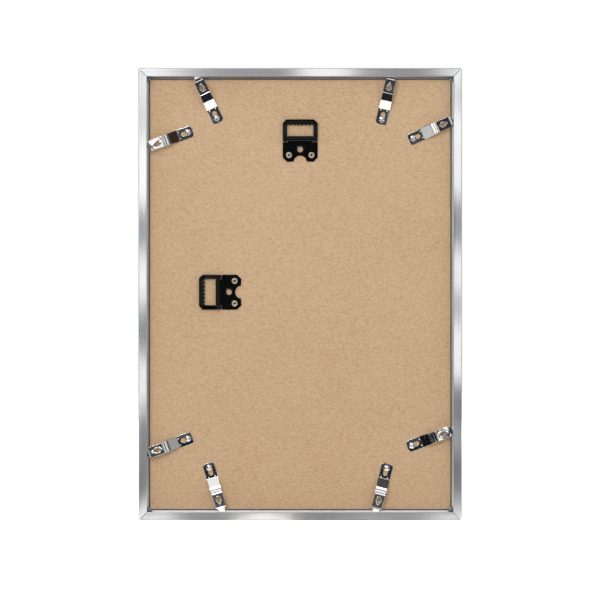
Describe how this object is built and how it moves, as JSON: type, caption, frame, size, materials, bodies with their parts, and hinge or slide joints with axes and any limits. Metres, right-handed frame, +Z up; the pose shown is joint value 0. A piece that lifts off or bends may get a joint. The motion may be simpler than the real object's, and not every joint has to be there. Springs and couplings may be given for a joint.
{
  "type": "photo frame",
  "caption": "Upright slim metal photo frame with glass, a fibreboard back held by swivelling spring clips, and hinged sawtooth hangers for upright or sideways hanging.",
  "frame": {"origin": "in the wall plane, at the nail seat in the middle notch of the upright hanger", "axes": "+Z up as hung upright, +Y out of the wall through the picture, +X to the right seen from behind"},
  "size_m": [0.2256, 0.015, 0.3155],
  "materials": {
    "silver_metal": "bright silver-coloured, lightly brushed along the rail",
    "corner_steel": "dark blued steel",
    "clear_glass": "clear",
    "paper": "bare, matt",
    "fibreboard": "raw medium-density fibreboard",
    "nickel_plate": "bright nickel-plated spring steel",
    "black_enamel": "black stoved enamel on pressed steel",
    "eyelet_metal": "plated, worn bright"
  },
  "bodies": {
    "frame": {"rail_top": "silver_metal", "rail_bottom": "silver_metal", "rail_left": "silver_metal", "rail_right": "silver_metal", "corner_angle_top_right": "corner_steel", "corner_angle_top_left": "corner_steel", "corner_angle_bottom_left": "corner_steel", "corner_angle_bottom_right": "corner_steel", "glass_pane": "clear_glass", "photo_sheet": "paper", "back_board": "fibreboard", "hanger_plate_portrait": "black_enamel", "hanger_eyelet_portrait_a": "eyelet_metal", "hanger_eyelet_portrait_b": "eyelet_metal", "hanger_plate_landscape": "black_enamel", "hanger_eyelet_landscape_a": "eyelet_metal", "hanger_eyelet_landscape_b": "eyelet_metal"},
    "rivet_top_left": {"clip_rivet_top_left": "nickel_plate"},
    "clip_top_left": {"spring_clip_top_left": "nickel_plate"},
    "rivet_top_right": {"clip_rivet_top_right": "nickel_plate"},
    "clip_top_right": {"spring_clip_top_right": "nickel_plate"},
    "rivet_right_upper": {"clip_rivet_right_upper": "nickel_plate"},
    "clip_right_upper": {"spring_clip_right_upper": "nickel_plate"},
    "rivet_right_lower": {"clip_rivet_right_lower": "nickel_plate"},
    "clip_right_lower": {"spring_clip_right_lower": "nickel_plate"},
    "rivet_bottom_right": {"clip_rivet_bottom_right": "nickel_plate"},
    "clip_bottom_right": {"spring_clip_bottom_right": "nickel_plate"},
    "rivet_bottom_left": {"clip_rivet_bottom_left": "nickel_plate"},
    "clip_bottom_left": {"spring_clip_bottom_left": "nickel_plate"},
    "rivet_left_lower": {"clip_rivet_left_lower": "nickel_plate"},
    "clip_left_lower": {"spring_clip_left_lower": "nickel_plate"},
    "rivet_left_upper": {"clip_rivet_left_upper": "nickel_plate"},
    "clip_left_upper": {"spring_clip_left_upper": "nickel_plate"},
    "bail_portrait": {"hanger_bail_portrait": "black_enamel"},
    "bail_landscape": {"hanger_bail_landscape": "black_enamel"}
  },
  "joints": [
    {"name": "swivel_top_left", "type": "hinge", "parent": "frame", "child": "rivet_top_left", "pos_m": [-0.05835, 0.00855, 0.0041], "axis": [0, -1, 0], "range_deg": [0, 54]},
    {"name": "slide_top_left", "type": "slide", "parent": "rivet_top_left", "child": "clip_top_left", "axis": [0.4305, 0, -0.9026], "range_m": [0, 0.0039]},
    {"name": "swivel_top_right", "type": "hinge", "parent": "frame", "child": "rivet_top_right", "pos_m": [0.05715, 0.00855, 0.00314], "axis": [0, 1, 0], "range_deg": [0, 42]},
    {"name": "slide_top_right", "type": "slide", "parent": "rivet_top_right", "child": "clip_top_right", "axis": [-0.2164, 0, -0.9763], "range_m": [0, 0.0039]},
    {"name": "swivel_right_upper", "type": "hinge", "parent": "frame", "child": "rivet_right_upper", "pos_m": [0.07898, 0.00855, -0.01], "axis": [0, -1, 0], "range_deg": [0, 30]},
    {"name": "slide_right_upper", "type": "slide", "parent": "rivet_right_upper", "child": "clip_right_upper", "axis": [-0.9078, 0, -0.4195], "range_m": [0, 0.0039]},
    {"name": "swivel_right_lower", "type": "hinge", "parent": "frame", "child": "rivet_right_lower", "pos_m": [0.0781, 0.00855, -0.2247], "axis": [0, -1, 0], "range_deg": [0, 68]},
    {"name": "slide_right_lower", "type": "slide", "parent": "rivet_right_lower", "child": "clip_right_lower", "axis": [-0.9311, 0, -0.3649], "range_m": [0, 0.0039]},
    {"name": "swivel_bottom_right", "type": "hinge", "parent": "frame", "child": "rivet_bottom_right", "pos_m": [0.06045, 0.00855, -0.24053], "axis": [0, 1, 0], "range_deg": [0, 75]},
    {"name": "slide_bottom_right", "type": "slide", "parent": "rivet_bottom_right", "child": "clip_bottom_right", "axis": [0.2521, 0, 0.9677], "range_m": [0, 0.0039]},
    {"name": "swivel_bottom_left", "type": "hinge", "parent": "frame", "child": "rivet_bottom_left", "pos_m": [-0.06355, 0.00855, -0.24019], "axis": [0, -1, 0], "range_deg": [0, 73]},
    {"name": "slide_bottom_left", "type": "slide", "parent": "rivet_bottom_left", "child": "clip_bottom_left", "axis": [-0.2907, 0, 0.9568], "range_m": [0, 0.0039]},
    {"name": "swivel_left_lower", "type": "hinge", "parent": "frame", "child": "rivet_left_lower", "pos_m": [-0.07843, 0.00855, -0.2199], "axis": [0, -1, 0], "range_deg": [0, 54]},
    {"name": "slide_left_lower", "type": "slide", "parent": "rivet_left_lower", "child": "clip_left_lower", "axis": [0.9391, 0, 0.3437], "range_m": [0, 0.0039]},
    {"name": "swivel_left_upper", "type": "hinge", "parent": "frame", "child": "rivet_left_upper", "pos_m": [-0.07833, 0.00855, -0.0057], "axis": [0, -1, 0], "range_deg": [0, 69]},
    {"name": "slide_left_upper", "type": "slide", "parent": "rivet_left_upper", "child": "clip_left_upper", "axis": [0.9391, 0, 0.3437], "range_m": [0, 0.0039]},
    {"name": "bail_swing_portrait", "type": "hinge", "parent": "frame", "child": "bail_portrait", "pos_m": [0, 0.0064, -0.0103], "axis": [1, 0, 0], "range_deg": [0, 165]},
    {"name": "bail_swing_landscape", "type": "hinge", "parent": "frame", "child": "bail_landscape", "pos_m": [-0.05715, 0.0064, -0.11745], "axis": [0, 0, 1], "range_deg": [0, 165]}
  ]
}
